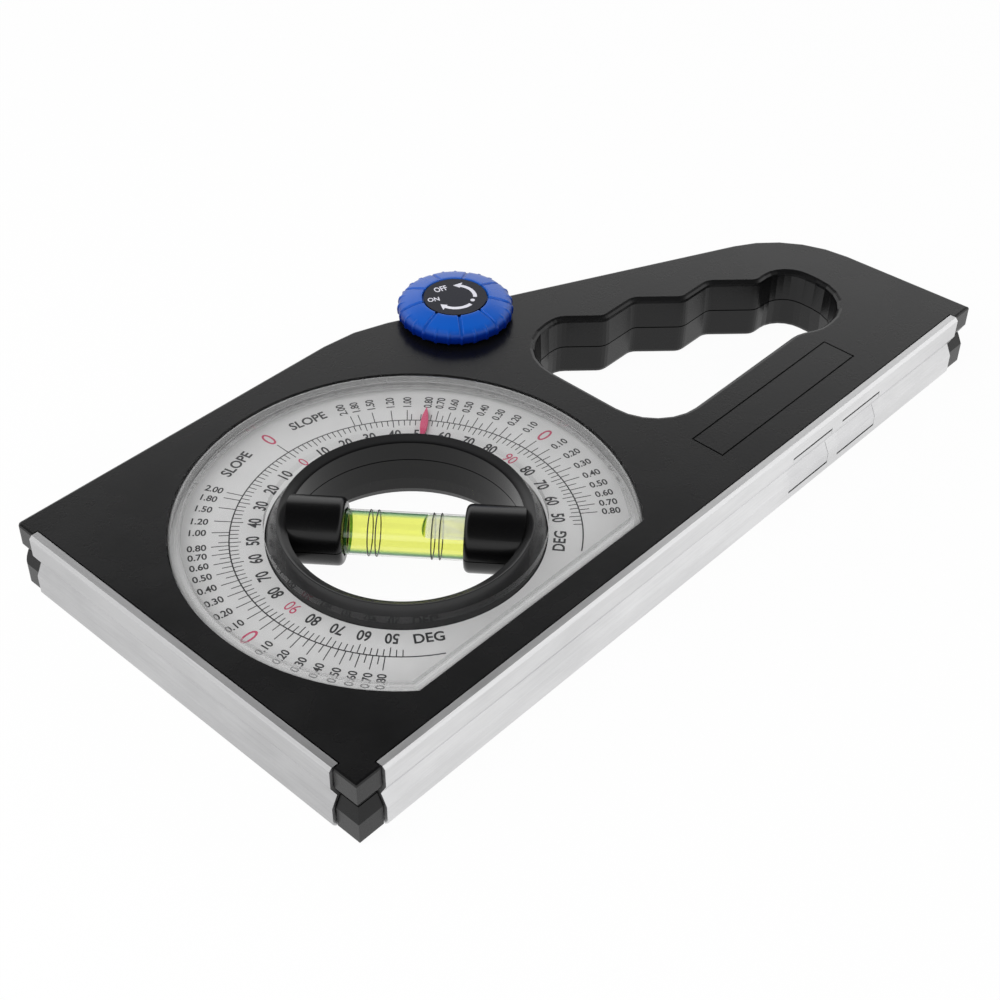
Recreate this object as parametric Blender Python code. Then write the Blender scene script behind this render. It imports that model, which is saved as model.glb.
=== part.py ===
"""Angle finder: a two-shell ABS case with a D handle, two aluminium V-groove rails with
magnets, a printed dial under a clear cover, a turning ring that carries a level vial and a
red pointer, and a lock knob that pushes a brake against the ring.

The case lies on its rear face. Lengths are in metres, +Z is up, X runs along the long rail.
"""

import math

import bmesh
import bpy
from mathutils import Vector

# Clearances and overruns
seat_gap = 0.0003
overrun = 0.003

# Facet counts and turns
large_steps = 96
ring_steps = 80
small_steps = 40
arc_step = math.radians(15)
sharp_turn = math.radians(32)

# Case outline
long_side = 0.2150
short_side = 0.1063
body_thick = 0.0170
end_lean = 0.0025
nose_height = 0.0534
nose_round = 0.0290
shoulder_run = 0.0399
shoulder_round = 0.0420
corner_round = 0.0010
edge_round = 0.0006
rear_round = 0.0003

# Handle hole between the window and the nose bar, narrowest at the parting plane
window_web = 0.0101
nose_bar = 0.01755
lower_bar = 0.02275
hole_height = 0.0490
hole_draft = 0.0003
hole_round = 0.0013
lip_turns = (math.radians(30), math.radians(60), math.radians(90))

# Corners of the hole as shares of its length and height: across, up, corner radius
hole_corner_shares = (
    (0.000, 0.059, 0.169), (0.708, 0.059, 0.105), (0.787, 0.000, 0.086),
    (1.000, 0.000, 0.165), (1.000, 0.459, 0.090), (0.860, 0.459, 0.053),
    (0.740, 0.645, 0.040), (0.605, 0.645, 0.053), (0.485, 0.831, 0.040),
    (0.335, 0.831, 0.053), (0.225, 1.000, 0.059), (0.000, 1.000, 0.177),
)

# Label panel, a fine groove round a plain field on the lower handle bar
panel_offset = 0.0021
panel_low = 0.0092
panel_length = 0.0532
panel_height = 0.0090
panel_groove = 0.0004
panel_depth = 0.0003

# Rails, aluminium extrusions with a V along the outer face
rail_proud = 0.0008
rail_strip = 0.0015
rail_depth = 0.0042
rail_tongue = 0.0084
rail_chamfer = 0.0007
groove_width = 0.0060
groove_depth = 0.0015
long_rail_start = 0.0067
long_rail_tail = 0.0066
short_rail_start = 0.0065
short_rail_tail = 0.0057

# Magnets, set in windows of the long rail under the handle
magnet_offset = 0.0165
magnet_pitch = 0.0199
magnet_count = 2
magnet_window = 0.0158
magnet_low = 0.00305
magnet_high = 0.0128
magnet_lip = 0.0013
magnet_back = 0.0080
magnet_slit = 0.0004

# Round window with a flat, seat for the dial and its cover
window_left = 0.00785
window_low = 0.00833
window_high = 0.00765
window_flat = 0.03852
dial_seat = 0.0122
dial_thick = 0.0005
cover_sink = 0.0001
cover_thick = 0.0020
cover_bevel = 0.0010
cover_skirt = 0.0014

# Turning ring in two halves, split across the vial
ring_split = 0.0114
ring_top = 0.0174
ring_wall = 0.0023
crest_width = 0.0004
bore_chamfer = 0.0011
cone_run = 0.0025
cone_rise = 0.0042
flange_width = 0.0047
flange_margin = 0.00302
flange_chamber_gap = 0.0005
hub_play = 0.0004
hub_low = 0.0059
opening_play = 0.0006
opening_round = 0.0022

# Vial and the two holders that grip it
holder_radius = 0.00765
holder_round = 0.0013
holder_inner = 0.0132
holder_bite = 0.00015
vial_radius = 0.0051
vial_bore = 0.0039
vial_grip = 0.0058
vial_end_wall = 0.0015
plug_length = 0.0030

# Pointer on the ring, between dial and cover
rest_turn = math.radians(38.7)
pointer_gap = 0.0002
pointer_clear = 0.0094
pointer_width = 0.0018
pointer_thick = 0.0006
pointer_lift = 0.0005
pointer_width_shares = ((0.0, 0.55), (0.18, 0.62), (0.45, 1.0), (0.75, 0.8), (1.0, 0.12))

# Lock knob on its shaft
knob_run = 0.0225
knob_drop = 0.01417
knob_radius = 0.0146
knob_low = 0.0179
knob_top = 0.0227
knob_side = 0.0024
knob_face = 0.0088
knob_shoulder_shares = ((0.0, 0.0), (0.3, 0.036), (0.5, 0.145), (0.62, 0.255), (1.0, 1.0))
knob_rib = 0.0003
knob_ribs = 18
knob_rib_shares = ((0.0, 1.0), (0.22, 1.0), (0.30, 0.0), (0.92, 0.0))
knob_notches = 9
notch_width = 0.0005
notch_depth = 0.0004
notch_turn = math.radians(-49.4)
knob_wall = 0.0020
knob_hub = 0.0052
knob_roof = 0.0015
cap_radius = 0.0079
cap_thick = 0.0005
cap_sink = 0.0002
boss_radius = 0.0106

# Shaft, spiral cam and brake
shaft_radius = 0.0025
shaft_low = 0.0063
shaft_flat = 0.0018
shaft_head = 0.0033
cam_radius = 0.0085
cam_thick = 0.0018
cam_turn = math.radians(120)
cam_slack = math.radians(12)
pin_radius = 0.0010
pin_rest = 0.0062
brake_travel = 0.0012
brake_thick = 0.00245
slider_width = 0.0050
slider_tail = 0.0018
pad_width = 0.0080
pad_length = 0.0035
pad_steps = 6

# Case screws, driven from the rear face
screw_head = 0.0026
screw_head_thick = 0.0017
screw_sink = 0.0030
screw_shank = 0.00125
screw_length = 0.0125
screw_play = 0.0003
screw_inset = 0.0130
screw_nose_inset = 0.0085
screw_web = 0.0105
screw_knob_run = 0.01445
screw_bar_run = 0.0410
screw_bar_rise = 0.0460

# Sizes that follow from the ones above
dial_x = window_left + short_side - window_low - window_flat - window_high
dial_y = window_low + window_flat
window_radius = short_side - dial_y - window_high
hole_left = dial_x + window_radius + window_web
hole_bottom = lower_bar
hole_length = long_side - nose_bar - hole_left
slope_start = dial_x + shoulder_run
knob_x = slope_start + knob_run
knob_y = short_side - knob_drop
long_rail_end = long_side - long_rail_tail
short_rail_end = short_side - short_rail_tail
panel_left = hole_left + panel_offset
magnet_places = [hole_left + magnet_offset + k * magnet_pitch for k in range(magnet_count)]
mid_plane = body_thick / 2
front_low = mid_plane + seat_gap / 2
rear_top = mid_plane - seat_gap / 2
reach_y = max(short_side, knob_y + knob_radius)
dial_low = dial_seat + seat_gap
dial_top = dial_low + dial_thick
cover_top = body_thick - cover_sink
ring_front_low = ring_split + seat_gap / 2
ring_rear_top = ring_split - seat_gap / 2
flange_radius = window_flat - flange_margin
chamber_radius = flange_radius + flange_chamber_gap
flange_top = dial_seat - seat_gap
cone_foot = flange_radius - flange_width
cone_low = ring_top - cone_rise
ring_crest = cone_foot - cone_run
ring_bore = ring_crest - ring_wall
hub_radius = cone_foot - hub_play
rear_opening = ring_bore + opening_play
cover_hole = cone_foot + seat_gap
holder_reach = ring_bore + holder_bite
vial_length = 2 * (holder_inner + vial_grip)
pointer_root = cone_foot + pointer_gap
pointer_tip = window_radius - pointer_clear
flange_low = mid_plane + seat_gap
brake_low = mid_plane + seat_gap / 2
brake_top = brake_low + brake_thick
cam_low = brake_top + seat_gap
cam_top = cam_low + cam_thick
brake_span = math.hypot(knob_x - dial_x, knob_y - dial_y)
brake_turn = math.atan2(knob_y - dial_y, knob_x - dial_x)
cap_seat = knob_top - cap_sink - cap_thick - seat_gap
screw_places = [
    (screw_inset, screw_inset),
    (hole_left - screw_web, screw_inset),
    (long_side - screw_web, screw_inset),
    (long_side - screw_nose_inset, nose_height - screw_web),
    (hole_left + screw_bar_run, hole_bottom + screw_bar_rise),
    (knob_x - screw_knob_run, knob_y),
    (screw_inset, short_side - screw_inset),
]


def clear_scene():
    """Remove what a new file holds."""
    for thing in list(bpy.data.objects):
        bpy.data.objects.remove(thing, do_unlink=True)
    for stock in (bpy.data.meshes, bpy.data.materials):
        for block in list(stock):
            stock.remove(block)


def material(name, colour, roughness, metallic=0.0, transmission=0.0):
    """One Principled material."""
    made = bpy.data.materials.new(name)
    made.use_nodes = True
    shader = made.node_tree.nodes["Principled BSDF"]
    shader.inputs["Base Color"].default_value = (*colour, 1.0)
    shader.inputs["Roughness"].default_value = roughness
    shader.inputs["Metallic"].default_value = metallic
    shader.inputs["Transmission Weight"].default_value = transmission
    return made


def empty(name, place, parent=None, turn=0.0):
    """An axis or a frame that pieces hang from."""
    holder = bpy.data.objects.new(name, None)
    bpy.context.collection.objects.link(holder)
    holder.empty_display_size = seat_gap
    holder.parent = parent
    holder.location = place
    holder.rotation_euler = (0.0, 0.0, turn)
    return holder


def to_object(name, bm, parent, finish=None):
    """Turn a bmesh into a named object under its parent."""
    bmesh.ops.recalc_face_normals(bm, faces=bm.faces)
    mesh = bpy.data.meshes.new(name)
    bm.to_mesh(mesh)
    bm.free()
    mesh.shade_smooth()
    mesh.set_sharp_from_angle(angle=sharp_turn)
    made = bpy.data.objects.new(name, mesh)
    bpy.context.collection.objects.link(made)
    made.parent = parent
    if finish is not None:
        mesh.materials.append(finish)
    return made


def as_tool(thing):
    """Mark an object as a cutter or a guide."""
    thing.hide_render = True
    thing.display_type = "WIRE"
    return thing


def join(target, tool, operation="DIFFERENCE"):
    """Cut, unite or intersect a piece with a tool."""
    step = target.modifiers.new(tool.name, "BOOLEAN")
    step.operation = operation
    step.solver = "EXACT"
    step.object = as_tool(tool)
    return step


def corner_points(before, corner, after, radius):
    """Points of a fillet between two straight runs."""
    if radius <= 0.0:
        return [corner]
    back = (before - corner).normalized()
    ahead = (after - corner).normalized()
    half = math.acos(max(-1.0, min(1.0, back.dot(ahead)))) / 2
    start = corner + back * (radius / math.tan(half))
    centre = corner + (back + ahead).normalized() * (radius / math.sin(half))
    first = math.atan2(start.y - centre.y, start.x - centre.x)
    turn = math.pi - 2 * half
    if (corner - before).cross(after - corner) < 0.0:
        turn = -turn
    count = max(2, math.ceil(abs(turn) / arc_step))
    return [
        centre + radius * Vector((math.cos(first + turn * k / count),
                                  math.sin(first + turn * k / count)))
        for k in range(count + 1)
    ]


def rounded_outline(corners):
    """Closed outline through corners given as across, up and fillet radius."""
    places = [Vector((corner[0], corner[1])) for corner in corners]
    points = []
    for index, corner in enumerate(corners):
        before = places[index - 1]
        after = places[(index + 1) % len(places)]
        points += corner_points(before, places[index], after, corner[2])
    return points


def inset(points, distance):
    """Outline moved inward by a distance, outward when it is negative."""
    moved = []
    for index, point in enumerate(points):
        run_in = (point - points[index - 1]).normalized()
        run_out = (points[(index + 1) % len(points)] - point).normalized()
        side_in = Vector((-run_in.y, run_in.x))
        side_out = Vector((-run_out.y, run_out.x))
        moved.append(point + (side_in + side_out) * (distance / (1 + side_in.dot(side_out))))
    return moved


def circle(radius, steps, centre=(0.0, 0.0)):
    """Round outline."""
    return [
        Vector((centre[0] + radius * math.cos(2 * math.pi * k / steps),
                centre[1] + radius * math.sin(2 * math.pi * k / steps)))
        for k in range(steps)
    ]


def flatted_circle(radius, flat, steps, centre=(0.0, 0.0)):
    """Round outline with its lower side cut straight at a distance from the centre."""
    half = math.acos(flat / radius)
    first = half - math.pi / 2
    sweep = 2 * math.pi - 2 * half
    return [
        Vector((centre[0] + radius * math.cos(first + sweep * k / steps),
                centre[1] + radius * math.sin(first + sweep * k / steps)))
        for k in range(steps + 1)
    ]


def box_outline(left, low, right, high):
    """Rectangle."""
    return [Vector((left, low)), Vector((right, low)), Vector((right, high)), Vector((left, high))]


def stack(name, levels, parent, finish=None):
    """Solid through equal outlines given bottom to top as height and points."""
    bm = bmesh.new()
    loops = [[bm.verts.new((p.x, p.y, height)) for p in points] for height, points in levels]
    bm.faces.new(list(reversed(loops[0])))
    bm.faces.new(loops[-1])
    for low, high in zip(loops, loops[1:]):
        for k in range(len(low)):
            after = (k + 1) % len(low)
            bm.faces.new((low[k], low[after], high[after], high[k]))
    return to_object(name, bm, parent, finish)


def turned(name, profile, steps, parent, finish=None):
    """Solid of revolution about Z from a closed profile of radius and height."""
    bm = bmesh.new()
    verts = [bm.verts.new((radius, 0.0, height)) for radius, height in profile]
    edges = [bm.edges.new((a, b)) for a, b in zip(verts, verts[1:] + verts[:1])
             if max(a.co.x, b.co.x) > 0.0]
    bmesh.ops.spin(bm, geom=verts + edges, cent=(0, 0, 0), axis=(0, 0, 1),
                   angle=2 * math.pi, steps=steps, use_merge=True)
    bmesh.ops.remove_doubles(bm, verts=bm.verts, dist=seat_gap / 1000)
    return to_object(name, bm, parent, finish)


def drawn(name, profile, start, end, parent, finish=None):
    """Extrusion along X of a profile given as depth and height."""
    bm = bmesh.new()
    near = [bm.verts.new((start, depth, height)) for depth, height in profile]
    face = bm.faces.new(near)
    grown = bmesh.ops.extrude_face_region(bm, geom=[face])
    moved = [item for item in grown["geom"] if isinstance(item, bmesh.types.BMVert)]
    bmesh.ops.translate(bm, verts=moved, vec=(end - start, 0, 0))
    return to_object(name, bm, parent, finish)


def along_short_side(thing):
    """Lay a piece drawn along X, with its depth inward along Y, on the short side."""
    for vertex in thing.data.vertices:
        vertex.co.x, vertex.co.y = vertex.co.y, vertex.co.x
    thing.data.flip_normals()
    return thing


def rounded_levels(points, low, high, radius):
    """Levels of a solid whose upper edge is rounded by a quarter circle in two steps."""
    diagonal = radius * math.sin(math.pi / 4)
    return [
        (low, points),
        (high - radius, points),
        (high - radius + diagonal, inset(points, radius - diagonal)),
        (high, inset(points, radius)),
    ]


def boss_bulge():
    """Round swelling of the sloped back that carries the knob shaft."""
    nose = Vector((long_side - end_lean, nose_height))
    shoulder = Vector((slope_start, short_side))
    along = (shoulder - nose).normalized()
    outward = Vector((along.y, -along.x))
    knob_place = Vector((knob_x, knob_y))
    sunk = (nose - knob_place).dot(outward)
    half_chord = math.sqrt(boss_radius ** 2 - sunk ** 2)
    half_turn = math.atan2(half_chord, sunk)
    middle = math.atan2(outward.y, outward.x)
    count = math.ceil(2 * half_turn / arc_step)
    points = []
    for k in range(count + 1):
        turn = middle - half_turn + 2 * half_turn * k / count
        points.append((knob_x + boss_radius * math.cos(turn),
                       knob_y + boss_radius * math.sin(turn), 0.0))
    return points


def case_outline():
    """Long straight side, leaning end, round nose, sloped back, boss and flat short side."""
    return rounded_outline([
        (0.0, 0.0, 0.0),
        (long_side, 0.0, 0.0),
        (long_side - end_lean, nose_height, nose_round),
        *boss_bulge(),
        (slope_start, short_side, shoulder_round),
        (0.0, short_side, corner_round),
    ])


def hole_outline():
    """Handle hole with its finger steps along the upper bar."""
    return rounded_outline([
        (hole_left + across * hole_length, hole_bottom + up * hole_height, share * hole_length)
        for across, up, share in hole_corner_shares
    ])


def window_outline(shrink):
    """Window of the dial, smaller all round by a clearance."""
    return flatted_circle(window_radius - shrink, window_flat - shrink, large_steps,
                          (dial_x, dial_y))


def upside_down(levels, height):
    """Levels mirrored to face down, bottom to top again."""
    return [(height - level, points) for level, points in reversed(levels)]


def handle_tool(name, case, facing_down):
    """Cutter of the handle hole, drafted from the parting plane and flared at the outer face."""
    points = hole_outline()
    levels = [(mid_plane - overrun, points), (mid_plane, points),
              (body_thick - hole_round, inset(points, -hole_draft))]
    for turn in lip_turns:
        flare = hole_draft + hole_round - hole_round * math.cos(turn)
        levels.append((body_thick - hole_round + hole_round * math.sin(turn),
                       inset(points, -flare)))
    levels.append((body_thick + overrun, inset(points, -hole_draft - hole_round)))
    if facing_down:
        levels = upside_down(levels, body_thick)
    return stack(name, levels, case)


def groove_profile():
    """V of the rails, carried on outward past the face."""
    half = groove_width / 2
    spread = overrun * half / groove_depth
    return [
        (-overrun, mid_plane - half - spread),
        (groove_depth, mid_plane),
        (-overrun, mid_plane + half + spread),
    ]


def channel_profile():
    """Space that a rail takes in the case."""
    deep = rail_depth + seat_gap
    strip = rail_strip + seat_gap
    tongue = rail_tongue / 2 + seat_gap
    return [
        (-overrun, -overrun), (strip, -overrun), (strip, mid_plane - tongue),
        (deep, mid_plane - tongue), (deep, mid_plane + tongue),
        (strip, mid_plane + tongue), (strip, body_thick + overrun),
        (-overrun, body_thick + overrun),
    ]


def rail_profile():
    """Extrusion of a rail: outer face with its V, strip and tongue."""
    face = -rail_proud
    half = groove_width / 2
    tongue = rail_tongue / 2
    return [
        (face + rail_chamfer, 0.0), (rail_strip, 0.0), (rail_strip, mid_plane - tongue),
        (rail_depth, mid_plane - tongue), (rail_depth, mid_plane + tongue),
        (rail_strip, mid_plane + tongue), (rail_strip, body_thick),
        (face + rail_chamfer, body_thick), (face, body_thick - rail_chamfer),
        (face, mid_plane + half), (face + groove_depth, mid_plane), (face, mid_plane - half),
        (face, rail_chamfer),
    ]


def cut_rail_sides(shell, case, label):
    """Channels of both rails and the V that runs on across the corner blocks."""
    start = long_rail_start - seat_gap
    end = long_rail_end + seat_gap
    join(shell, drawn(label + "_long_channel", channel_profile(), start, end, case))
    start = short_rail_start - seat_gap
    end = short_rail_end + seat_gap
    short = drawn(label + "_short_channel", channel_profile(), start, end, case)
    join(shell, along_short_side(short))
    long_groove = drawn(label + "_long_v", groove_profile(), -overrun,
                        long_side + overrun, case)
    join(shell, long_groove)
    short_groove = drawn(label + "_short_v", groove_profile(), -overrun,
                         short_side + overrun, case)
    join(shell, along_short_side(short_groove))


def screw_tool(name, case, radius, low, high):
    """Cutter with one round bore at each screw."""
    bm = bmesh.new()
    for place in screw_places:
        points = circle(radius, small_steps // 2, place)
        foot = [bm.verts.new((p.x, p.y, low)) for p in points]
        head = [bm.verts.new((p.x, p.y, high)) for p in points]
        bm.faces.new(list(reversed(foot)))
        bm.faces.new(head)
        for k in range(len(foot)):
            after = (k + 1) % len(foot)
            bm.faces.new((foot[k], foot[after], head[after], head[k]))
    return to_object(name, bm, case)


def panel_tool(case):
    """Groove round the plain label field."""
    right = panel_left + panel_length
    high = panel_low + panel_height
    floor = body_thick - panel_depth
    frame = stack("panel_groove", [
        (floor, box_outline(panel_left, panel_low, right, high)),
        (body_thick + overrun, box_outline(panel_left, panel_low, right, high)),
    ], case)
    inner = box_outline(panel_left + panel_groove, panel_low + panel_groove,
                        right - panel_groove, high - panel_groove)
    field = stack("panel_field", [
        (floor - overrun, inner), (body_thick + 2 * overrun, inner),
    ], case)
    join(frame, field)
    return frame


def round_tool(name, parent, radius, low, high, steps=small_steps):
    """Plain round cutter about the parent's axis."""
    return stack(name, [(low, circle(radius, steps)), (high, circle(radius, steps))], parent)


def front_shell(case, dial_axis, knob_axis, brake_line, finish):
    """Upper half of the case with window, dial ledge, knob boss and brake track."""
    shell = stack("front_shell",
                  rounded_levels(case_outline(), front_low, body_thick, edge_round),
                  case, finish)
    join(shell, handle_tool("hole_upper", case, False))
    window = window_outline(0.0)
    join(shell, stack("window_pocket", [
        (dial_seat, window), (body_thick + overrun, window),
    ], case))
    join(shell, round_tool("flange_chamber", dial_axis, chamber_radius,
                           front_low - overrun, dial_seat + overrun, large_steps))
    cut_rail_sides(shell, case, "upper")
    join(shell, round_tool("cam_pocket", knob_axis, cam_radius + seat_gap,
                           front_low - overrun, cam_top + seat_gap))
    join(shell, round_tool("shaft_bore", knob_axis, shaft_radius + seat_gap,
                           cam_top, body_thick + overrun))
    half = slider_width / 2 + seat_gap
    track = box_outline(flange_radius, -half, brake_span, half)
    join(shell, stack("brake_track", [
        (front_low - overrun, track), (brake_top + seat_gap, track),
    ], brake_line))
    half = pad_width / 2 + seat_gap
    pad_end = flange_radius + seat_gap + pad_length + brake_travel + seat_gap
    pocket = box_outline(flange_radius - overrun, -half, pad_end, half)
    join(shell, stack("pad_pocket", [
        (front_low - overrun, pocket), (brake_top + seat_gap, pocket),
    ], brake_line))
    join(shell, screw_tool("thread_bores", case, screw_shank + screw_play,
                           front_low - overrun, screw_sink + screw_length + seat_gap))
    join(shell, panel_tool(case))
    return shell


def rear_shell(case, dial_axis, knob_axis, finish):
    """Lower half of the case with the ring's opening and seat and the screw wells."""
    top = body_thick - rear_top
    levels = rounded_levels(case_outline(), top, body_thick, rear_round)
    shell = stack("rear_shell", upside_down(levels, body_thick), case, finish)
    join(shell, handle_tool("hole_lower", case, True))
    diagonal = opening_round * math.sin(math.pi / 4)
    join(shell, turned("ring_opening", [
        (0.0, -overrun), (rear_opening + opening_round, -overrun),
        (rear_opening + opening_round, 0.0),
        (rear_opening + opening_round - diagonal, opening_round - diagonal),
        (rear_opening, opening_round),
        (rear_opening, hub_low - seat_gap), (hub_radius + seat_gap, hub_low - seat_gap),
        (hub_radius + seat_gap, mid_plane + overrun), (0.0, mid_plane + overrun),
    ], large_steps, dial_axis))
    join(shell, round_tool("shaft_socket", knob_axis, shaft_radius + seat_gap,
                           shaft_low - seat_gap, mid_plane + overrun))
    join(shell, screw_tool("head_wells", case, screw_head + screw_play, -overrun, screw_sink))
    join(shell, screw_tool("shank_bores", case, screw_shank + screw_play,
                           -overrun, mid_plane + overrun))
    cut_rail_sides(shell, case, "lower")
    return shell


def long_rail(case, finish):
    """Rail of the long side, with a window for each magnet."""
    rail = drawn("long_rail", rail_profile(), long_rail_start, long_rail_end, case, finish)
    for index, place in enumerate(magnet_places):
        window = box_outline(place, -overrun, place + magnet_window, rail_depth + overrun)
        join(rail, stack("magnet_window_%d" % (index + 1), [
            (magnet_low - magnet_slit, window), (magnet_high + magnet_slit, window),
        ], case))
    return rail


def short_rail(case, finish):
    """Rail of the short side."""
    rail = drawn("short_rail", rail_profile(), short_rail_start, short_rail_end, case, finish)
    return along_short_side(rail)


def magnet(index, place, case, finish):
    """Magnet bar whose face follows the rail's V."""
    face = -rail_proud
    half = groove_width / 2
    back = magnet_back / 2
    profile = [
        (face, magnet_low), (magnet_lip, magnet_low), (magnet_lip, mid_plane - back),
        (rail_depth, mid_plane - back), (rail_depth, mid_plane + back),
        (magnet_lip, mid_plane + back), (magnet_lip, magnet_high), (face, magnet_high),
        (face, mid_plane + half), (face + groove_depth, mid_plane), (face, mid_plane - half),
    ]
    return drawn("magnet_%d" % index, profile, place + seat_gap,
                 place + magnet_window - seat_gap, case, finish)


def dial_plate(case, dial_axis, finish):
    """Printed dial on the ledge of the window."""
    outline = window_outline(seat_gap)
    plate = stack("dial_plate", [(dial_low, outline), (dial_top, outline)], case, finish)
    join(plate, round_tool("dial_hole", dial_axis, cone_foot + seat_gap,
                           dial_low - overrun, dial_top + overrun, large_steps))
    return plate


def dial_cover(case, dial_axis, finish):
    """Clear cover with a bevelled rim and a skirt that stands on the dial."""
    outline = window_outline(seat_gap)
    cover = stack("dial_cover", [
        (dial_top + seat_gap, outline), (cover_top - cover_bevel, outline),
        (cover_top, inset(outline, cover_bevel)),
    ], case, finish)
    inner = inset(outline, cover_skirt)
    join(cover, stack("cover_room", [
        (dial_top - overrun, inner), (cover_top - cover_thick, inner),
    ], case))
    join(cover, round_tool("cover_hole", dial_axis, cover_hole,
                           dial_top, cover_top + overrun, large_steps))
    return cover


def ring_front_profile():
    """Section of the front ring half: bore, chamfer, crest, cone and flange."""
    return [
        (ring_bore, ring_front_low), (ring_bore, ring_top - bore_chamfer),
        (ring_crest - crest_width - bore_chamfer / 2, ring_top - bore_chamfer / 2),
        (ring_crest - crest_width, ring_top), (ring_crest, ring_top),
        (cone_foot, cone_low), (cone_foot, flange_top),
        (flange_radius, flange_top), (flange_radius, ring_front_low),
    ]


def ring_rear_profile():
    """Section of the rear ring half: hub in the case and brake flange."""
    return [
        (ring_bore, hub_low), (hub_radius, hub_low), (hub_radius, flange_low),
        (flange_radius, flange_low), (flange_radius, ring_rear_top), (ring_bore, ring_rear_top),
    ]


def lay_along_y(thing, height):
    """Lay a piece turned about Z along the ring's Y at a height."""
    thing.rotation_euler = (-math.pi / 2, 0.0, 0.0)
    thing.location = (0.0, 0.0, height)
    return thing


def holder_tool(name, side, ring_axis):
    """Round vial holder with a rounded inner end, trimmed to the ring's bore."""
    half_round = holder_round * math.sin(math.pi / 4)
    stub = turned(name, [
        (0.0, holder_inner), (holder_radius - holder_round, holder_inner),
        (holder_radius - holder_round + half_round, holder_inner + holder_round - half_round),
        (holder_radius, holder_inner + holder_round),
        (holder_radius, holder_reach + overrun), (0.0, holder_reach + overrun),
    ], small_steps, ring_axis)
    lay_along_y(stub, ring_split)
    if side < 0:
        stub.rotation_euler = (math.pi / 2, 0.0, 0.0)
    join(stub, round_tool(name + "_trim", ring_axis, holder_reach,
                          ring_split - 2 * holder_radius, ring_split + 2 * holder_radius,
                          ring_steps), "INTERSECT")
    return stub


def ring_half(name, profile, keep_low, keep_high, ring_axis, finish):
    """One half of the ring with its halves of the two vial holders."""
    half = turned(name, profile, ring_steps, ring_axis, finish)
    for side in (1, -1):
        label = "%s_holder_%s" % (name, "a" if side > 0 else "b")
        stub = holder_tool(label, side, ring_axis)
        wide = holder_reach + overrun
        slab = box_outline(-wide, -wide, wide, wide)
        join(stub, stack(label + "_half", [(keep_low, slab), (keep_high, slab)], ring_axis),
             "INTERSECT")
        join(half, stub, "UNION")
    reach = vial_length / 2 + seat_gap
    bore = turned(name + "_vial_bore", [
        (0.0, -reach), (vial_radius + seat_gap, -reach),
        (vial_radius + seat_gap, reach), (0.0, reach),
    ], small_steps, ring_axis)
    join(half, lay_along_y(bore, ring_split))
    return half


def ring_front(ring_axis, finish):
    """Front half of the turning ring."""
    return ring_half("ring_front", ring_front_profile(), ring_front_low,
                     ring_split + 2 * holder_radius, ring_axis, finish)


def ring_rear(ring_axis, finish):
    """Rear half of the turning ring."""
    return ring_half("ring_rear", ring_rear_profile(), ring_split - 2 * holder_radius,
                     ring_rear_top, ring_axis, finish)


def vial_tube(ring_axis, finish):
    """Clear vial, closed at one end."""
    half = vial_length / 2
    tube = turned("vial_tube", [
        (0.0, -half), (vial_radius, -half), (vial_radius, half), (vial_bore, half),
        (vial_bore, vial_end_wall - half), (0.0, vial_end_wall - half),
    ], small_steps, ring_axis, finish)
    return lay_along_y(tube, ring_split)


def vial_plug(ring_axis, finish):
    """Plug in the open end of the vial."""
    half = vial_length / 2
    radius = vial_bore - seat_gap
    plug = turned("vial_plug", [
        (0.0, half - plug_length), (radius, half - plug_length), (radius, half), (0.0, half),
    ], small_steps, ring_axis, finish)
    return lay_along_y(plug, ring_split)


def vial_liquid(ring_axis, finish):
    """Liquid column between the closed end and the plug."""
    half = vial_length / 2
    low = vial_end_wall + seat_gap - half
    high = half - plug_length - seat_gap
    radius = vial_bore - seat_gap
    liquid = turned("vial_liquid", [
        (0.0, low), (radius, low), (radius, high), (0.0, high),
    ], small_steps, ring_axis, finish)
    return lay_along_y(liquid, ring_split)


def pointer(ring_axis, finish):
    """Leaf-shaped needle from the foot of the ring's cone over the dial."""
    length = pointer_tip - pointer_root
    right = [Vector((pointer_root + share * length, -width * pointer_width / 2))
             for share, width in pointer_width_shares]
    left = [Vector((point.x, -point.y)) for point in reversed(right)]
    low = dial_top + pointer_lift
    return stack("pointer", [
        (low, right + left), (low + pointer_thick, right + left),
    ], ring_axis, finish)


def knob_outline(radius, rib):
    """Round outline with narrow ribs that stand out from it."""
    pitch = 2 * math.pi / knob_ribs
    points = []
    for k in range(knob_ribs):
        for share, rise in knob_rib_shares:
            turn = (k + share) * pitch
            reach = radius + rib * rise
            points.append(Vector((reach * math.cos(turn), reach * math.sin(turn))))
    return points


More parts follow.
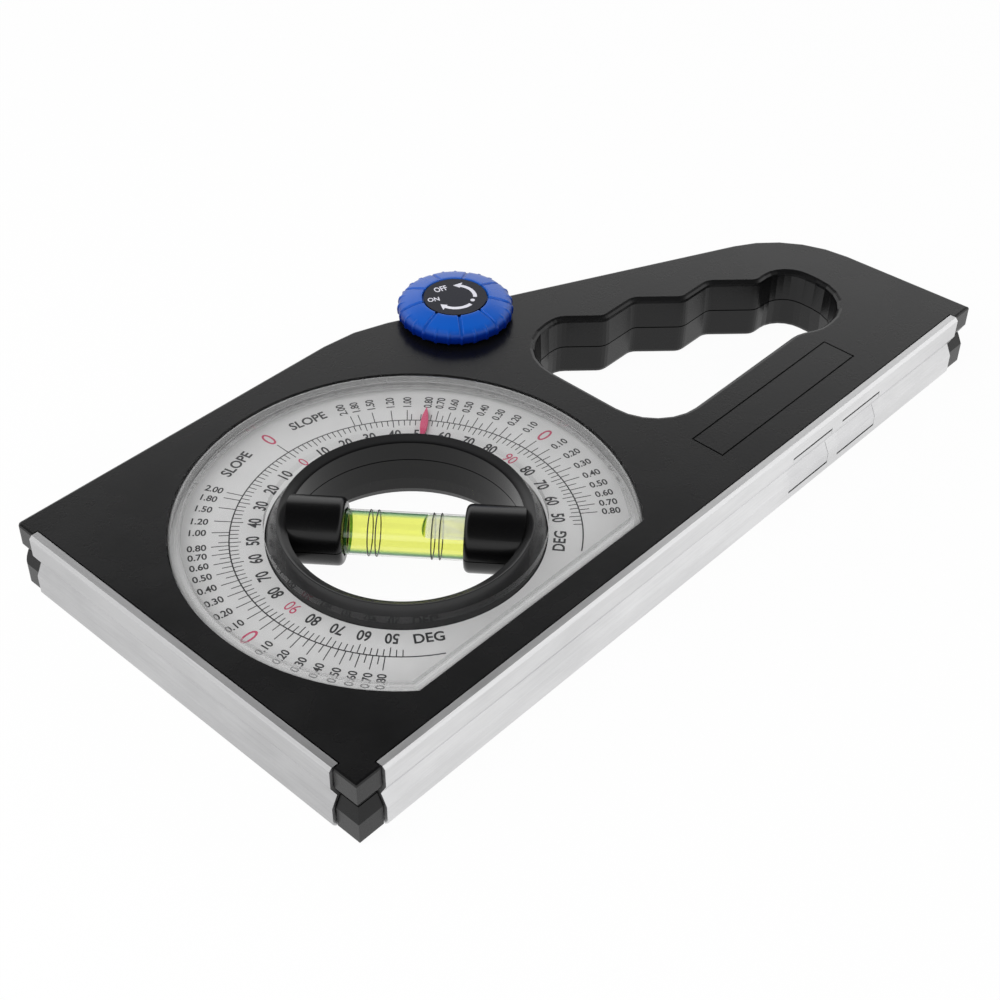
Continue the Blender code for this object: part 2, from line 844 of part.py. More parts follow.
def knob(face_axis, knob_axis, finish):
    """Round lock knob, ribbed side, notched face, hollow below round its hub."""
    body = knob_radius - knob_rib
    levels = [(knob_low, knob_outline(body - knob_rib, knob_rib)),
              (knob_low + knob_rib, knob_outline(body, knob_rib))]
    for rise, share in knob_shoulder_shares:
        levels.append((knob_top - knob_side + knob_side * rise,
                       knob_outline(body + (knob_face - body) * share, knob_rib * (1 - share))))
    wheel = stack("knob", levels, face_axis, finish)
    join(wheel, turned("knob_room", [
        (knob_hub, knob_low - overrun), (knob_radius - knob_wall, knob_low - overrun),
        (knob_radius - knob_wall, cap_seat - knob_roof), (knob_hub, cap_seat - knob_roof),
    ], small_steps, knob_axis))
    join(wheel, turned("knob_hub_foot", [
        (0.0, body_thick + seat_gap), (knob_hub, body_thick + seat_gap),
        (knob_hub, knob_low + knob_rib), (0.0, knob_low + knob_rib),
    ], small_steps, knob_axis), "UNION")
    join(wheel, round_tool("cap_recess", knob_axis, cap_radius + seat_gap,
                           cap_seat, knob_top + overrun))
    socket = flatted_circle(shaft_radius + seat_gap, shaft_flat + seat_gap, small_steps)
    join(wheel, stack("shaft_hole", [
        (body_thick - overrun, socket), (body_thick + 2 * seat_gap + shaft_head, socket),
    ], knob_axis))
    join(wheel, notch_tool(face_axis))
    return wheel


def notch_tool(face_axis):
    """Cutter with a narrow radial notch for each lobe of the knob's face."""
    bm = bmesh.new()
    half = notch_width / 2
    for k in range(knob_notches):
        turn = 2 * math.pi * k / knob_notches
        ahead = Vector((math.cos(turn), math.sin(turn), 0.0))
        side = Vector((-math.sin(turn), math.cos(turn), 0.0))
        near = ahead * (cap_radius - seat_gap)
        far = ahead * (knob_radius + overrun)
        fall = Vector((0.0, 0.0, knob_side))
        rise = Vector((0.0, 0.0, overrun))
        floor = Vector((0.0, 0.0, knob_top - notch_depth))
        section = [side * -half, side * half, side * half + rise, side * -half + rise]
        first = [bm.verts.new(near + floor + offset) for offset in section]
        middle = [bm.verts.new(ahead * knob_face + floor + offset) for offset in section]
        last = [bm.verts.new(far + floor - fall + offset) for offset in section]
        bm.faces.new(first)
        bm.faces.new(list(reversed(last)))
        for start, end in ((first, middle), (middle, last)):
            for j in range(len(section)):
                after = (j + 1) % len(section)
                bm.faces.new((start[j], start[after], end[after], end[j]))
    return to_object("knob_notches", bm, face_axis)


def knob_cap(face_axis, finish):
    """Label disc let into the knob's face."""
    low = cap_seat + seat_gap
    return stack("knob_cap", [
        (low, circle(cap_radius, small_steps)), (low + cap_thick, circle(cap_radius, small_steps)),
    ], face_axis, finish)


def lock_cam(knob_axis, finish):
    """Knob shaft with a disc whose spiral slot drives the brake pin."""
    head = body_thick + seat_gap + shaft_head
    cam = turned("lock_cam", [
        (0.0, shaft_low), (shaft_radius, shaft_low), (shaft_radius, cam_low),
        (cam_radius, cam_low), (cam_radius, cam_top), (shaft_radius, cam_top),
        (shaft_radius, head), (0.0, head),
    ], small_steps, knob_axis, finish)
    count = math.ceil((cam_turn + 2 * cam_slack) / arc_step)
    inner = []
    outer = []
    half = pin_radius + seat_gap
    for k in range(count + 1):
        turn = -cam_turn - cam_slack + (cam_turn + 2 * cam_slack) * k / count
        middle = pin_rest + brake_travel * turn / cam_turn
        ahead = Vector((math.cos(turn), math.sin(turn)))
        inner.append(ahead * (middle - half))
        outer.append(ahead * (middle + half))
    slot = outer + list(reversed(inner))
    join(cam, stack("cam_slot", [(cam_low - overrun, slot), (cam_top + overrun, slot)], knob_axis))
    flat = box_outline(-2 * shaft_radius, -2 * shaft_radius, 2 * shaft_radius, -shaft_flat)
    join(cam, stack("shaft_flat", [
        (body_thick + seat_gap, flat), (head + overrun, flat),
    ], knob_axis))
    return cam


def brake_slider(brake_line, finish):
    """Push bar from the cam to the brake pad, with its drive pin."""
    start = flange_radius + seat_gap + pad_length + seat_gap
    pin = brake_span - pin_rest
    half = slider_width / 2
    outline = box_outline(start, -half, pin + slider_tail, half)
    bar = stack("brake_slider", [(brake_low, outline), (brake_top, outline)], brake_line, finish)
    peg = circle(pin_radius, small_steps // 2, (pin, 0.0))
    join(bar, stack("slider_pin", [
        (brake_low + seat_gap, peg), (cam_top - seat_gap, peg),
    ], brake_line), "UNION")
    return bar


def brake_pad(brake_line, finish):
    """Pad whose hollow face fits the rim of the ring's flange."""
    radius = flange_radius + seat_gap
    half = pad_width / 2
    sweep = math.asin(half / radius)
    face = [Vector((radius * math.cos(sweep - 2 * sweep * k / pad_steps),
                    radius * math.sin(sweep - 2 * sweep * k / pad_steps)))
            for k in range(pad_steps + 1)]
    outline = face + [Vector((radius + pad_length, -half)), Vector((radius + pad_length, half))]
    outline.reverse()
    return stack("brake_pad", [(brake_low, outline), (brake_top, outline)], brake_line, finish)


def case_screw(index, place, case, finish):
    """Pan-head screw, head down in its well."""
    top = screw_sink - seat_gap
    screw = turned("case_screw_%d" % index, [
        (0.0, top - screw_head_thick), (screw_head - seat_gap, top - screw_head_thick),
        (screw_head, top - screw_head_thick + seat_gap), (screw_head, top),
        (screw_shank, top), (screw_shank, top + screw_length), (0.0, top + screw_length),
    ], small_steps // 2, case, finish)
    screw.location = (place[0], place[1], 0.0)
    return screw


def build():
    """Whole instrument, resting on its rear face about the origin."""
    clear_scene()
    black = material("black_abs", (0.035, 0.036, 0.038), 0.45)
    ring_black = material("ring_abs", (0.045, 0.046, 0.048), 0.38)
    aluminium = material("aluminium", (0.78, 0.78, 0.79), 0.32, 1.0)
    steel = material("magnet_steel", (0.62, 0.62, 0.63), 0.35, 1.0)
    silver = material("dial_silver", (0.60, 0.61, 0.62), 0.45)
    clear = material("clear_acrylic", (0.95, 0.97, 0.98), 0.05, 0.0, 0.9)
    red = material("pointer_red", (0.60, 0.04, 0.10), 0.40)
    liquid = material("vial_green", (0.72, 0.90, 0.10), 0.05, 0.0, 0.6)
    blue = material("knob_blue", (0.02, 0.09, 0.50), 0.40)
    label = material("label_grey", (0.05, 0.05, 0.06), 0.50)
    zinc = material("zinc", (0.55, 0.55, 0.56), 0.40, 1.0)
    rubber = material("brake_rubber", (0.03, 0.03, 0.03), 0.80)
    nylon = material("slider_nylon", (0.75, 0.74, 0.70), 0.50)

    case = empty("case_corner", ((rail_proud - long_side) / 2, (rail_proud - reach_y) / 2, 0.0))
    dial_axis = empty("dial_axis", (dial_x, dial_y, 0.0), case)
    ring_axis = empty("ring_axis", (dial_x, dial_y, 0.0), case, rest_turn)
    brake_line = empty("brake_line", (dial_x, dial_y, 0.0), case, brake_turn)
    knob_axis = empty("knob_axis", (knob_x, knob_y, 0.0), case, brake_turn + math.pi)
    face_axis = empty("knob_face_axis", (knob_x, knob_y, 0.0), case, notch_turn)

    front_shell(case, dial_axis, knob_axis, brake_line, black)
    rear_shell(case, dial_axis, knob_axis, black)
    long_rail(case, aluminium)
    short_rail(case, aluminium)
    for index, place in enumerate(magnet_places):
        magnet(index + 1, place, case, steel)
    dial_plate(case, dial_axis, silver)
    dial_cover(case, dial_axis, clear)
    ring_front(ring_axis, ring_black)
    ring_rear(ring_axis, ring_black)
    vial_tube(ring_axis, clear)
    vial_plug(ring_axis, clear)
    vial_liquid(ring_axis, liquid)
    pointer(ring_axis, red)
    knob(face_axis, knob_axis, blue)
    knob_cap(face_axis, label)
    lock_cam(knob_axis, zinc)
    brake_slider(brake_line, nylon)
    brake_pad(brake_line, rubber)
    for index, place in enumerate(screw_places):
        case_screw(index + 1, place, case, zinc)


build()
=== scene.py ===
"""Looks of an angle finder: black two-shell case with a D handle, aluminium V rails with
magnets, a printed dial under a clear cover, a turning ring with a level vial and a red pointer,
and a blue lock knob, on a plain white studio floor.

Lengths are in metres. The case lies on its rear face, X runs along the long rail and +Z is up.
"""

import math

import bmesh
import bpy
from mathutils import Matrix, Vector


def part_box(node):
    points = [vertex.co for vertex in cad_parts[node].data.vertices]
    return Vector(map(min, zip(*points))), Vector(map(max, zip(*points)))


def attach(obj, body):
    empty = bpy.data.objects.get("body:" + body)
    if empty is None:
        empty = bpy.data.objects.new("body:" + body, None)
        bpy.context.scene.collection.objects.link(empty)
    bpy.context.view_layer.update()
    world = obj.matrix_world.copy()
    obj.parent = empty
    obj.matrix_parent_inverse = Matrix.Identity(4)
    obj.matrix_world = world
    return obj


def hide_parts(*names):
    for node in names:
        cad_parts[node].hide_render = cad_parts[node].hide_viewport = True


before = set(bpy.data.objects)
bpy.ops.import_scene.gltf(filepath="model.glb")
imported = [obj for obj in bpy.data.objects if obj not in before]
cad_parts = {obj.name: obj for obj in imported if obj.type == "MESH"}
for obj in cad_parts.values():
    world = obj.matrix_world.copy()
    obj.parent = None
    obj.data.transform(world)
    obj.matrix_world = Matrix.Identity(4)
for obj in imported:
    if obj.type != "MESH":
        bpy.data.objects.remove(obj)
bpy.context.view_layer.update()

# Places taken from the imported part
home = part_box("rear_shell")[0]
dial_centre = Vector((home.x + 0.05965, home.y + 0.04685))
knob_centre = Vector((home.x + 0.12205, home.y + 0.09213))
rest_turn = math.radians(38.7)

# Heights of the case
body_thick = 0.0170
dial_top = 0.0130
ring_split = 0.0114

# Camera
camera_place = Vector((home.x - 0.134043, home.y - 0.156845, 0.264541))
camera_turn = math.radians(-47.713)
camera_rise = math.radians(40.878)
camera_roll = math.radians(0.788)
camera_lens = 61.785
camera_sensor = 36.0
camera_near = 0.01

# Angles in degrees past which an edge is shaded as sharp
piece_shade = 32.0
flat_shade = 10.0
knob_shade = 50.0
node_shade = 35.0
weld_reach = 1e-6

# Straight runs round each curve
window_steps = 240
ring_steps = 200
scale_steps = 200
vial_steps = 80
screw_steps = 48
knob_steps = 720
arrow_steps = 40
dot_steps = 24
mark_steps = 8
holder_steps = 5
bubble_steps = 8

# Floor and light
floor_radius = 3.0
floor_steps = 64
floor_low = -0.004
floor_high = -0.0001
floor_shade = 0.04
sky_levels = ((0.0, 0.60), (0.44, 1.0), (0.53, 1.0), (0.67, 0.10), (1.0, 0.03))
sky_strength = 1.55
key_place = (-0.35, 0.05, 0.55)
key_size = 0.5
key_power = 2.6

# Window of the dial and its cover
window_radius = 0.0518
window_flat = 0.03852
play = 0.0003
cover_hole = 0.0311
cover_low = 0.0133
cover_top = 0.0169
cover_skirt = 0.0014
pane_thick = 0.0020

# Section of the cover's rim as inset from the window and drop from the top
rim_section = ((0.0003, 0.0006), (0.0007, 0.0001), (0.0012, 0.0), (0.0022, 0.0002),
               (0.0024, 0.0006), (0.0026, 0.0006), (0.0028, 0.0001), (0.0029, 0.0001))
rim_width = 0.0029

# Ring
ring_bore = 0.0260
ring_crest = 0.0283
ring_top = 0.0174
cone_foot = 0.0308
cone_low = 0.0132
hub_low = 0.0059
hub_radius = 0.0304
flange_radius = 0.0355
flange_low = 0.0088
flange_top = 0.0119
bore_chamfer = 0.0011
split_gap = 0.00013
half_room = 0.02

# Section of the ring's crest as step outward from the crest and drop from the top
crest_section = ((-0.001005, 0.000495), (-0.0004, 0.00005), (-0.0002, 0.0), (0.0, 0.00008),
                 (0.0018, 0.0029), (0.00185, 0.0031))

# Vial and its holders
holder_radius = 0.00765
holder_round = 0.0013
holder_inner = 0.0132
holder_reach = 0.02615
holder_over = 0.002
vial_radius = 0.0051
vial_edge = 0.0002
liquid_radius = 0.00475
liquid_inset = 0.0015
vial_half = 0.0190
vial_shift = 0.0003
end_band = (0.0124, 0.0130)
band_clear = (0.00002, 0.0001)
mark_places = (0.0061, 0.00785)
mark_radius = 0.00014
bubble_start = 0.0033
bubble_end = 0.0172
bubble_floor = 0.0028
bubble_round = 0.0020

# Pointer, its outline as shares of its length and half width
pointer_root = 0.0310
pointer_tip = 0.0424
pointer_width = 0.0018
pointer_low = 0.0135
pointer_thick = 0.0006
pointer_edge = 0.0001
pointer_low_share = 0.85
pointer_top_share = 0.8
pointer_shares = ((0.0, 0.55), (0.10, 0.58), (0.18, 0.66), (0.30, 0.88), (0.45, 1.0),
                  (0.60, 0.96), (0.75, 0.78), (0.88, 0.45), (0.96, 0.22), (1.0, 0.10))

# Knob, its section as radius and height, and its label
knob_section = ((0.0139, 0.0179), (0.0142, 0.0182), (0.0143, 0.0194), (0.0142, 0.0201),
                (0.0140, 0.02055), (0.01355, 0.02105), (0.0129, 0.02142), (0.0121, 0.02172),
                (0.0112, 0.02200), (0.0096, 0.02238), (0.0086, 0.02262), (0.00835, 0.0226),
                (0.00815, 0.0222))
knob_hub = 0.0052
knob_foot = 0.0173
knob_ribs = 27
knob_rib = 0.0003
rib_half = math.radians(0.8)
rib_fade = math.radians(1.1)
knob_notches = 9
notch_half = 0.00028
notch_fade = 0.00022
notch_depth = 0.0004
notch_turn = math.radians(-49.4)
notch_low = 0.0201
knob_seat = 0.0217
rib_inner = 0.0130
rib_outer = 0.0140
notch_shoulder = 0.01425
cap_top = 0.0225

# Arrows on the knob's label as near and far radius, start, end and tip in degrees
arrow_arcs = ((0.00448, 0.00545, -47.6, 28.0, 50.0), (0.00455, 0.00555, -86.0, -163.0, -183.0))
arrow_near = 0.0041
arrow_far = 0.0065
arrow_tip = 0.0050
dot_place = (0.00462, -65.6)
dot_radius = 0.00058

# Words on the label: text, place from the knob's axis, turn, height, width share, weight
label_words = (("OFF", -0.00010, 0.0050, math.radians(-22.2), 0.0021, 0.70, 0.02),
               ("ON", -0.00467, 0.0030, math.radians(-32.8), 0.0017, 0.85, 0.02))

# Magnets and the rail's V
rail_face = -0.0008
magnet_starts = (0.13805, 0.15795)
magnet_length = 0.0158
magnet_low = 0.0032
magnet_high = 0.01265
magnet_lip = 0.0013
magnet_round = 0.0002
mid_plane = 0.0085
groove_half = 0.0030
groove_depth = 0.0015

# Screws, and the crown of the head as share of its radius and rise
screw_places = ((0.0130, 0.0130), (0.11105, 0.0130), (0.2045, 0.0130), (0.2065, 0.0429),
                (0.16255, 0.06875), (0.1076, 0.09213), (0.0130, 0.0933))
screw_head = 0.0026
screw_head_low = 0.0010
screw_head_high = 0.0027
screw_crown = ((0.55, 0.0), (0.85, 0.00015), (1.0, 0.0005))
screw_shank = 0.00125
screw_end = 0.0152
cross_length = 0.0030
cross_width = 0.0006
cross_depth = 0.0010
cross_over = 0.001
screw_turn = 0.7

# Dial print, its scales as radii, plan degrees and the slopes that are numbered
print_thick = 0.00002
print_top = dial_top + print_thick
letter_curve = 4
scale_radius = 0.0387
scale_line = 0.0003
scale_ends = (-57.0, 237.0)
tick_line = 0.00022
tick_step = 2
tick_group = 5
inner_ticks = (-22, 112)
inner_long = 0.0361
inner_short = 0.0367
outer_long = 0.0426
outer_short = 0.0410
slope_half_step = 0.05
slope_half_steps = range(1, 20, 2)
slope_values = (0.1, 0.2, 0.3, 0.4, 0.5, 0.6, 0.7, 0.8, 1.0, 1.2, 1.5, 1.8, 2.0)
spread_leans = {2.0: (65.0, 63.7), 1.8: (60.9, 59.7), 1.5: (56.2, 55.0), 1.2: (50.2, 49.7)}
ink_weight = 0.022
low_slope = 0.85
slope_radius = 0.0457
slope_size = 0.0020
slope_squeeze = 0.92
zero_radius = 0.0455
zero_size = 0.0045
zero_squeeze = 0.75
degree_radius = 0.0336
degree_size = 0.0030
degree_squeeze = 0.75
slope_word = 14.0
degree_word = 53.0
word_size = 0.0028
word_squeeze = 0.9

# Scales and depths of the noise in the materials
patch_scale = 60.0
grain_scale = 2200.0
dust_scale = 900.0
line_scale = 3000.0
line_stretch = 0.02
line_share = 0.35
line_depth = 0.00003
line_strength = 0.6
metal_patch_scale = 70.0
metal_patch_stretch = 0.35
metal_roughs = (0.30, 0.48)
grain_depth = 0.00002
smooth_depth = 0.000004
milk_rough = 0.25
steepness = 5.0
plain_gleam = 0.04


def shader_nodes(name):
    """Material with its Principled shader and node tree."""
    made = bpy.data.materials.new(name)
    made.use_nodes = True
    tree = made.node_tree
    return made, tree, tree.nodes["Principled BSDF"]


def add(tree, kind, **values):
    """Node with some of its settings and inputs given by name."""
    node = tree.nodes.new("ShaderNode" + kind)
    for key, value in values.items():
        if hasattr(node, key):
            setattr(node, key, value)
        else:
            node.inputs[key.replace("_", " ")].default_value = value
    return node


def object_noise(tree, scale, stretch=(1.0, 1.0, 1.0), detail=3.0):
    """Noise over object coordinates, stretched along axes."""
    place = add(tree, "TexCoord")
    spread = add(tree, "Mapping")
    spread.inputs["Scale"].default_value = stretch
    noise = add(tree, "TexNoise", Scale=scale, Detail=detail, Roughness=0.6)
    tree.links.new(place.outputs["Object"], spread.inputs["Vector"])
    tree.links.new(spread.outputs["Vector"], noise.inputs["Vector"])
    return noise


def spread_between(tree, source, low, high, start=0.3, end=0.7):
    """Number between two values that follows a source."""
    reach = add(tree, "MapRange")
    reach.inputs["From Min"].default_value = start
    reach.inputs["From Max"].default_value = end
    reach.inputs["To Min"].default_value = low
    reach.inputs["To Max"].default_value = high
    tree.links.new(source, reach.inputs["Value"])
    return reach.outputs["Result"]


def colours_between(tree, source, low, high, start=0.3, end=0.7):
    """Colour between two that follows a source."""
    ramp = add(tree, "ValToRGB")
    ramp.color_ramp.elements[0].position = start
    ramp.color_ramp.elements[0].color = (*low, 1.0)
    ramp.color_ramp.elements[1].position = end
    ramp.color_ramp.elements[1].color = (*high, 1.0)
    tree.links.new(source, ramp.inputs["Fac"])
    return ramp.outputs["Color"]


def add_bump(tree, shader, source, depth, strength=1.0):
    """Fine relief from a height."""
    bump = add(tree, "Bump")
    bump.inputs["Strength"].default_value = strength
    bump.inputs["Distance"].default_value = depth
    tree.links.new(source, bump.inputs["Height"])
    tree.links.new(bump.outputs["Normal"], shader.inputs["Normal"])


def grained(name, low, high, rough_low, rough_high, grain=grain_scale, depth=grain_depth,
            metallic=0.0, specular=0.5):
    """Moulded or painted surface: fine grain, slow colour patches, varied gloss."""
    made, tree, shader = shader_nodes(name)
    shader.inputs["Metallic"].default_value = metallic
    shader.inputs["Specular IOR Level"].default_value = specular
    slow = object_noise(tree, patch_scale)
    fine = object_noise(tree, grain, detail=2.0)
    tree.links.new(colours_between(tree, slow.outputs["Fac"], low, high),
                   shader.inputs["Base Color"])
    tree.links.new(spread_between(tree, slow.outputs["Fac"], rough_low, rough_high),
                   shader.inputs["Roughness"])
    add_bump(tree, shader, fine.outputs["Fac"], depth)
    return made


def two_zones(name, first, last, roughs, start, end, centre, axes, specular, last_specular=None):
    """Painted shade and light on one material: shaded near a centre, lit with the distance from
    it.
    """
    made, tree, shader = shader_nodes(name)
    place = add(tree, "TexCoord")
    flat = add(tree, "Mapping")
    flat.inputs["Location"].default_value = centre
    flat.inputs["Scale"].default_value = axes
    reach = add(tree, "VectorMath", operation="LENGTH")
    tree.links.new(place.outputs["Object"], flat.inputs["Vector"])
    tree.links.new(flat.outputs["Vector"], reach.inputs[0])
    share = spread_between(tree, reach.outputs["Value"], 0.0, 1.0, start, end)
    tree.links.new(colours_between(tree, share, first, last, 0.0, 1.0),
                   shader.inputs["Base Color"])
    slow = object_noise(tree, patch_scale)
    tree.links.new(spread_between(tree, slow.outputs["Fac"], *roughs), shader.inputs["Roughness"])
    shader.inputs["Specular IOR Level"].default_value = specular
    if last_specular is not None:
        tree.links.new(spread_between(tree, share, specular, last_specular, 0.0, 1.0),
                       shader.inputs["Specular IOR Level"])
    fine = object_noise(tree, grain_scale, detail=2.0)
    add_bump(tree, shader, fine.outputs["Fac"], smooth_depth)
    return made


def extruded_metal(name, low, high, along):
    """Aluminium or steel with drawing lines along an axis and dull patches."""
    made, tree, shader = shader_nodes(name)
    shader.inputs["Metallic"].default_value = 1.0
    drawn, patched = (tuple(share if axis == along else 1.0 for axis in range(3))
                      for share in (line_stretch, metal_patch_stretch))
    lines = object_noise(tree, line_scale, drawn, 4.0)
    slow = object_noise(tree, metal_patch_scale, patched, 5.0)
    mixed = add(tree, "Math", operation="ADD")
    part = add(tree, "Math", operation="MULTIPLY")
    part.inputs[1].default_value = line_share
    tree.links.new(lines.outputs["Fac"], part.inputs[0])
    tree.links.new(part.outputs[0], mixed.inputs[0])
    tree.links.new(slow.outputs["Fac"], mixed.inputs[1])
    tree.links.new(colours_between(tree, mixed.outputs[0], low, high, 0.45, 0.85),
                   shader.inputs["Base Color"])
    tree.links.new(spread_between(tree, slow.outputs["Fac"], *metal_roughs),
                   shader.inputs["Roughness"])
    add_bump(tree, shader, lines.outputs["Fac"], line_depth, line_strength)
    return made


def see_through(name, tint, gloss=plain_gleam, frost=0.0, milk=(0.8, 0.8, 0.8), rim=None):
    """Clear plastic: tinted light passes, the surface gleams, and a share is milky."""
    made, tree, shader = shader_nodes(name)
    shader.inputs["Base Color"].default_value = (*milk, 1.0)
    shader.inputs["Roughness"].default_value = milk_rough
    clear = add(tree, "BsdfTransparent")
    clear.inputs["Color"].default_value = (*tint, 1.0)
    if rim:
        round_part = add(tree, "LayerWeight", Blend=0.5)
        tree.links.new(colours_between(tree, round_part.outputs["Facing"], tint, rim, 0.34, 0.66),
                       clear.inputs["Color"])
    shine = add(tree, "BsdfGlossy")
    shine.inputs["Roughness"].default_value = gloss
    facing = add(tree, "LayerWeight", Blend=0.5)
    steep = add(tree, "Math", operation="POWER")
    steep.inputs[1].default_value = steepness
    tree.links.new(facing.outputs["Facing"], steep.inputs[0])
    edge = spread_between(tree, steep.outputs[0], plain_gleam, 1.0, 0.0, 1.0)
    dust = object_noise(tree, dust_scale)
    cloud = spread_between(tree, dust.outputs["Fac"], 0.95 * frost, 1.05 * frost)
    body = add(tree, "MixShader")
    top = add(tree, "MixShader")
    tree.links.new(cloud, body.inputs[0])
    tree.links.new(clear.outputs[0], body.inputs[1])
    tree.links.new(shader.outputs[0], body.inputs[2])
    tree.links.new(edge, top.inputs[0])
    tree.links.new(body.outputs[0], top.inputs[1])
    tree.links.new(shine.outputs[0], top.inputs[2])
    tree.links.new(top.outputs[0], tree.nodes["Material Output"].inputs["Surface"])
    return made


case_black = grained("case_black", (0.0024, 0.0024, 0.0026), (0.0040, 0.0040, 0.0043),
                     0.24, 0.30, specular=0.34)
# One black plastic painted with shade and light: darker inside the bore and on the vial holders,
# lighter on the ring's outer faces
ring_black = two_zones("ring_black", (0.0022, 0.0022, 0.0024), (0.018, 0.018, 0.0185),
                       (0.22, 0.28), ring_bore + 0.0001, ring_bore + 0.0008,
                       (-dial_centre.x, -dial_centre.y, 0.0), (1.0, 1.0, 0.0), 0.3)
rail_long_metal = extruded_metal("rail_long_metal", (0.60, 0.60, 0.605), (0.76, 0.76, 0.765), 0)
# The short rail is the long rail's aluminium coloured darker: painted shade
rail_short_metal_painted_shade = extruded_metal("rail_short_metal_painted_shade", (0.42, 0.42, 0.425), (0.57, 0.57, 0.575), 1)
magnet_metal = extruded_metal("magnet_metal", (0.58, 0.58, 0.59), (0.74, 0.74, 0.745), 0)
dial_silver = grained("dial_silver", (0.65, 0.65, 0.65), (0.72, 0.72, 0.72), 0.40, 0.5,
                      grain=5000.0, depth=0.00001)
ink_black = grained("ink_black", (0.02, 0.02, 0.022), (0.035, 0.035, 0.038), 0.4, 0.5)
ink_red = grained("ink_red", (0.50, 0.05, 0.12), (0.60, 0.08, 0.17), 0.4, 0.5)
pointer_red = grained("pointer_red", (0.55, 0.03, 0.12), (0.66, 0.06, 0.18), 0.35, 0.45)
cover_clear = see_through("cover_clear", (0.98, 0.98, 0.98))
cover_rim = see_through("cover_rim", (0.94, 0.94, 0.94), 0.16, 0.18, (0.80, 0.80, 0.80))
vial_clear = see_through("vial_clear", (0.99, 0.995, 0.985))
vial_green = see_through("vial_green", (0.98, 0.995, 0.47), 0.05, 0.02, (0.85, 0.92, 0.10),
                         (0.16, 0.44, 0.24))
end_green = see_through("end_green", (0.45, 0.70, 0.30), 0.05, 0.3, (0.05, 0.22, 0.04))
bubble_pale = see_through("bubble_pale", (0.99, 0.99, 0.98), 0.03, 0.42, (0.95, 0.95, 0.92))
# One blue plastic painted with shade and light by height: darker, less glossy sides and a lighter,
# glossier top
knob_blue = two_zones("knob_blue", (0.0003, 0.014, 0.17), (0.004, 0.09, 0.47), (0.26, 0.34),
                      0.0196, 0.0216, (0.0, 0.0, 0.0), (0.0, 0.0, 1.0), 0.08, 0.42)
label_grey = grained("label_grey", (0.006, 0.007, 0.014), (0.010, 0.011, 0.020), 0.30, 0.40,
                     specular=0.2)
ink_white = grained("ink_white", (0.66, 0.66, 0.74), (0.78, 0.78, 0.85), 0.4, 0.5)
zinc_metal = grained("zinc_metal", (0.50, 0.50, 0.50), (0.66, 0.65, 0.63), 0.30, 0.42,
                     metallic=1.0)
nylon_white = grained("nylon_white", (0.62, 0.61, 0.56), (0.72, 0.71, 0.66), 0.4, 0.5)
rubber_black = grained("rubber_black", (0.012, 0.012, 0.012), (0.022, 0.022, 0.022), 0.7, 0.85)


def dress(piece, finish):
    """Give a piece its one material."""
    piece.data.materials.clear()
    piece.data.materials.append(finish)


def to_piece(name, bm, finish, body=None, nodes=(), sharp=piece_shade):
    """Turn a bmesh into a piece that rides on a body and stands for nodes."""
    bmesh.ops.recalc_face_normals(bm, faces=bm.faces)
    mesh = bpy.data.meshes.new(name)
    bm.to_mesh(mesh)
    bm.free()
    mesh.shade_smooth()
    mesh.set_sharp_from_angle(angle=math.radians(sharp))
    made = bpy.data.objects.new(name, mesh)
    bpy.context.scene.collection.objects.link(made)
    if finish is not None:
        dress(made, finish)
    if body:
        settle(made, body, nodes)
    return made


def settle(piece, body, nodes=()):
    """Say which body a piece rides on and the nodes it stands for."""
    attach(piece, body)
    if nodes:
        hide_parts(*nodes)


def carve(piece, tool, operation="DIFFERENCE"):
    """Cut, unite or intersect a piece with a tool, for good."""
    step = piece.modifiers.new(tool.name, "BOOLEAN")
    step.operation = operation
    step.solver = "EXACT"
    step.object = tool
    graph = bpy.context.evaluated_depsgraph_get()
    mesh = bpy.data.meshes.new_from_object(piece.evaluated_get(graph))
    piece.modifiers.clear()
    piece.data = mesh
    bpy.data.objects.remove(tool)
    mesh.shade_smooth()
    mesh.set_sharp_from_angle(angle=math.radians(piece_shade))
    return piece


def circle(radius, steps, centre=(0.0, 0.0)):
    """Round outline."""
    return [Vector((centre[0] + radius * math.cos(2 * math.pi * k / steps),
                    centre[1] + radius * math.sin(2 * math.pi * k / steps)))
            for k in range(steps)]


def flatted_circle(radius, flat, steps, centre=(0.0, 0.0)):
    """Round outline with its lower side cut straight."""
    half = math.acos(flat / radius)
    first = half - math.pi / 2
    sweep = 2 * math.pi - 2 * half
    return [Vector((centre[0] + radius * math.cos(first + sweep * k / steps),
                    centre[1] + radius * math.sin(first + sweep * k / steps)))
            for k in range(steps + 1)]


def box_points(x0, y0, x1, y1):
    """Corners of a rectangle."""
    return [Vector((x0, y0)), Vector((x1, y0)), Vector((x1, y1)), Vector((x0, y1))]


def stack(levels, bm=None):
    """Solid through equal outlines given bottom to top as height and points."""
    bm = bm or bmesh.new()
    loops = [[bm.verts.new((p.x, p.y, height)) for p in points] for height, points in levels]
    bm.faces.new(list(reversed(loops[0])))
    bm.faces.new(loops[-1])
    for low, high in zip(loops, loops[1:]):
        for k in range(len(low)):
            after = (k + 1) % len(low)
            bm.faces.new((low[k], low[after], high[after], high[k]))
    return bm


def tube(levels):
    """Closed band through pairs of outlines: a loop of sections that returns to the first."""
    bm = bmesh.new()
    loops = [[bm.verts.new((p.x, p.y, height)) for p in points] for height, points in levels]
    for low, high in zip(loops, loops[1:] + loops[:1]):
        for k in range(len(low)):
            after = (k + 1) % len(low)
            bm.faces.new((low[k], low[after], high[after], high[k]))
    return bm


